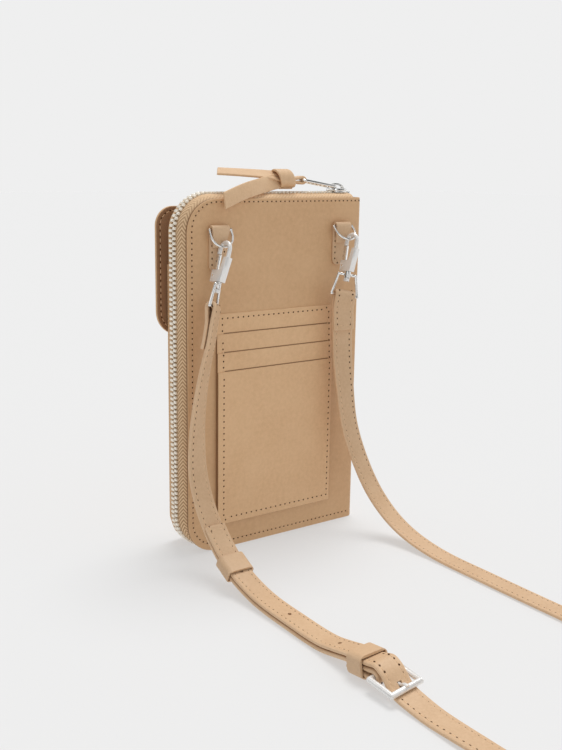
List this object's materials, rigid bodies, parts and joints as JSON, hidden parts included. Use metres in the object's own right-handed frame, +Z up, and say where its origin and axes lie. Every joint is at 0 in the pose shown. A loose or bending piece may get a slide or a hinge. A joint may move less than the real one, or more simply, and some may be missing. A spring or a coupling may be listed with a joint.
{
  "type": "phone pouch with strap",
  "caption": "Upright zip-round leather pouch with card slots behind, a phone pocket under a flap and a buckled shoulder strap on two swivel clasps.",
  "frame": {"origin": "middle of the base, under the case with its two rings, on the surface it stands on", "axes": "+Z up the case, +X from the zip edge to the spine, +Y from the card side to the phone side"},
  "size_m": [0.1239, 0.4195, 0.1991],
  "materials": {
    "leather": "fine grained, matt",
    "strap_leather": "smooth, matt",
    "lining": "plain weave",
    "board": "matt",
    "tape": "herringbone tape",
    "metal": "polished"
  },
  "bodies": {
    "case": {"back_cover": "leather", "back_board": "board", "back_lining": "lining", "inner_card_sheets": "lining", "zip_tape_back": "tape", "zip_teeth_back": "metal", "zip_stops_back": "metal", "card_sheet_1": "leather", "card_sheet_2": "leather", "card_sheet_3": "leather", "card_sheet_4": "leather", "tab_left": "strap_leather", "tab_right": "strap_leather", "bail_left": "metal", "bail_right": "metal", "strap_short": "strap_leather", "strap_long": "strap_leather", "fixed_keeper": "strap_leather", "buckle_frame": "metal"},
    "front_half": {"front_cover": "leather", "front_board": "board", "front_lining": "lining", "inner_slip_pocket": "lining", "zip_tape_front": "tape", "zip_teeth_front": "metal", "zip_stops_front": "metal", "phone_pocket": "leather", "flap_anchor": "leather", "snap_stud": "metal"},
    "flap": {"flap": "leather", "snap_cap": "metal"},
    "slider": {"zip_slider": "metal"},
    "pull_wire": {"pull_wire": "metal"},
    "leather_pull": {"leather_pull": "strap_leather"},
    "ring_left": {"ring_left": "metal"},
    "ring_right": {"ring_right": "metal"},
    "hook_left": {"hook_left": "metal", "gate_pin_left": "metal"},
    "hook_right": {"hook_right": "metal", "gate_pin_right": "metal"},
    "gate_left": {"gate_left": "metal"},
    "gate_right": {"gate_right": "metal"},
    "keeper": {"loose_keeper": "strap_leather"},
    "prong": {"buckle_prong": "metal"}
  },
  "joints": [
    {"name": "case_opening", "type": "hinge", "parent": "case", "child": "front_half", "pos_m": [0.054, 0.00939, 0.0925], "axis": [0, 0, -1], "range_deg": [0, 110]},
    {"name": "flap_hinge", "type": "hinge", "parent": "front_half", "child": "flap", "pos_m": [0.0015, 0.01069, 0.1795], "axis": [1, 0, 0], "range_deg": [0, 90]},
    {"name": "slider_run", "type": "slide", "parent": "case", "child": "slider", "axis": [-1, 0, 0], "range_m": [0, 0.075]},
    {"name": "wire_hinge", "type": "hinge", "parent": "slider", "child": "pull_wire", "pos_m": [0.044, -0.00011, 0.1904], "axis": [0, 1, 0], "range_deg": [0, 100]},
    {"name": "pull_hinge", "type": "hinge", "parent": "pull_wire", "child": "leather_pull", "pos_m": [0.02178, -0.00011, 0.19392], "axis": [0, 1, 0], "range_deg": [0, 30]},
    {"name": "ring_left_swing", "type": "hinge", "parent": "case", "child": "ring_left", "pos_m": [-0.0363, -0.01186, 0.1699], "axis": [1, 0, 0], "range_deg": [-1, 6]},
    {"name": "ring_right_swing", "type": "hinge", "parent": "case", "child": "ring_right", "pos_m": [0.042, -0.01186, 0.1699], "axis": [1, 0, 0], "range_deg": [0, 6]},
    {"name": "hook_left_swivel", "type": "hinge", "parent": "case", "child": "hook_left", "pos_m": [-0.04189, -0.01828, 0.14278], "axis": [0.3147, 0.1271, 0.9406], "range_deg": [-15, 15]},
    {"name": "hook_right_swivel", "type": "hinge", "parent": "case", "child": "hook_right", "pos_m": [0.03893, -0.02048, 0.14418], "axis": [0.2484, 0.1271, 0.9603], "range_deg": [0, 15]},
    {"name": "gate_left_hinge", "type": "hinge", "parent": "hook_left", "child": "gate_left", "pos_m": [-0.04071, -0.01462, 0.14732], "axis": [0.9389, 0.1037, -0.3282], "range_deg": [0, 22], "stiffness_Nm_per_rad": 0.004, "springref_deg": -11.46},
    {"name": "gate_right_hinge", "type": "hinge", "parent": "hook_right", "child": "gate_right", "pos_m": [0.03979, -0.01682, 0.14878], "axis": [0.9595, 0.1037, -0.2619], "range_deg": [0, 22], "stiffness_Nm_per_rad": 0.004, "springref_deg": -11.46},
    {"name": "keeper_slide", "type": "hinge", "parent": "case", "child": "keeper", "pos_m": [-0.0548, -0.08186, 0.06487], "axis": [1, 0, 0], "range_deg": [-3, 0.4]},
    {"name": "prong_hinge", "type": "hinge", "parent": "case", "child": "prong", "pos_m": [-0.055, -0.16391, 0.0064], "axis": [-0.9925, 0, -0.1219], "range_deg": [0, 3]}
  ]
}
